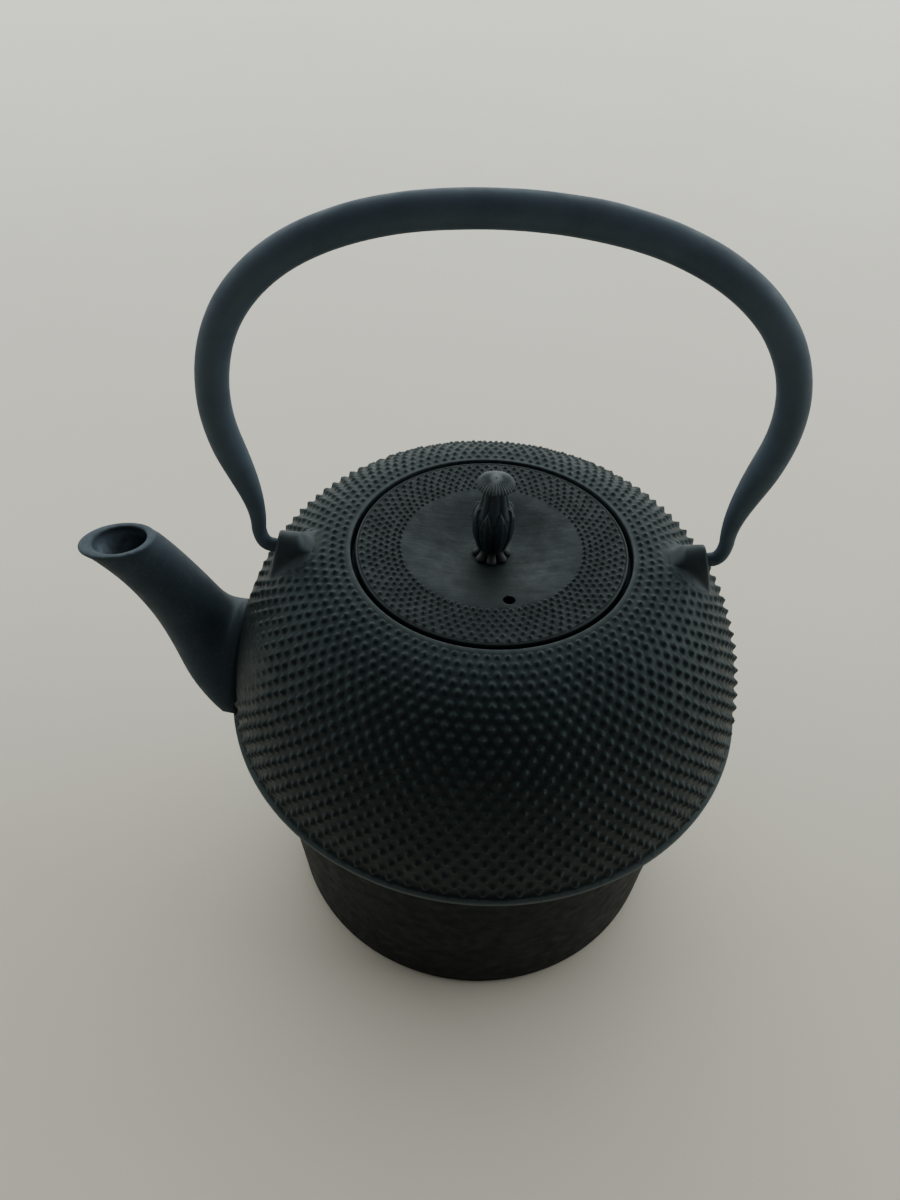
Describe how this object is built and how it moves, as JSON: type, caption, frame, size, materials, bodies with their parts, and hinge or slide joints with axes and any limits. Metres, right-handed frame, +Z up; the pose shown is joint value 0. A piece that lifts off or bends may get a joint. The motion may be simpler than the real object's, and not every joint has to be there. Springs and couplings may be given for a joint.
{
  "type": "cast iron teapot",
  "caption": "Kettle-style cast iron teapot with a hobnail dome over a plain ledged body, an upswept spout, a dished drop-in lid with a bud knob, and a swinging bail handle.",
  "frame": {"origin": "centre of the flat base, on the table", "axes": "+Z up, the axis of the body, mouth and lid; the spout points along -X and the handle's pivot line is parallel to X"},
  "size_m": [0.2187, 0.176, 0.2646],
  "materials": {
    "body_iron": "dark lacquered cast iron, satin",
    "spout_iron": "dark lacquered cast iron, fine sand texture, satin",
    "lug_iron": "dark lacquered cast iron, rubbed at the edges",
    "lid_iron": "dark lacquered cast iron, smoother dished centre",
    "knob_iron": "grey cast iron, rubbed lighter on the ribs and cap",
    "seat_iron": "dark grey cast iron",
    "stem_iron": "bare iron, dull",
    "handle_iron": "dark wrought iron, smooth satin"
  },
  "bodies": {
    "kettle": {"body_shell": "body_iron", "spout": "spout_iron", "lug_left": "lug_iron", "lug_right": "lug_iron"},
    "knob": {"knob": "knob_iron", "knob_seat": "seat_iron", "knob_stem": "stem_iron"},
    "lid": {"lid_plate": "lid_iron", "stem_washer": "stem_iron"},
    "handle": {"bail_handle": "handle_iron"}
  },
  "joints": [
    {"name": "lid_lift", "type": "slide", "parent": "kettle", "child": "knob", "axis": [0, 0, 1], "range_m": [0, 0.06]},
    {"name": "lid_turn", "type": "hinge", "parent": "knob", "child": "lid", "pos_m": [0, 0, 0.1518], "axis": [0, 0, 1], "continuous": true},
    {"name": "handle_swing", "type": "hinge", "parent": "kettle", "child": "handle", "pos_m": [0, 0, 0.1522], "axis": [1, 0, 0], "range_deg": [-112, 112]}
  ]
}
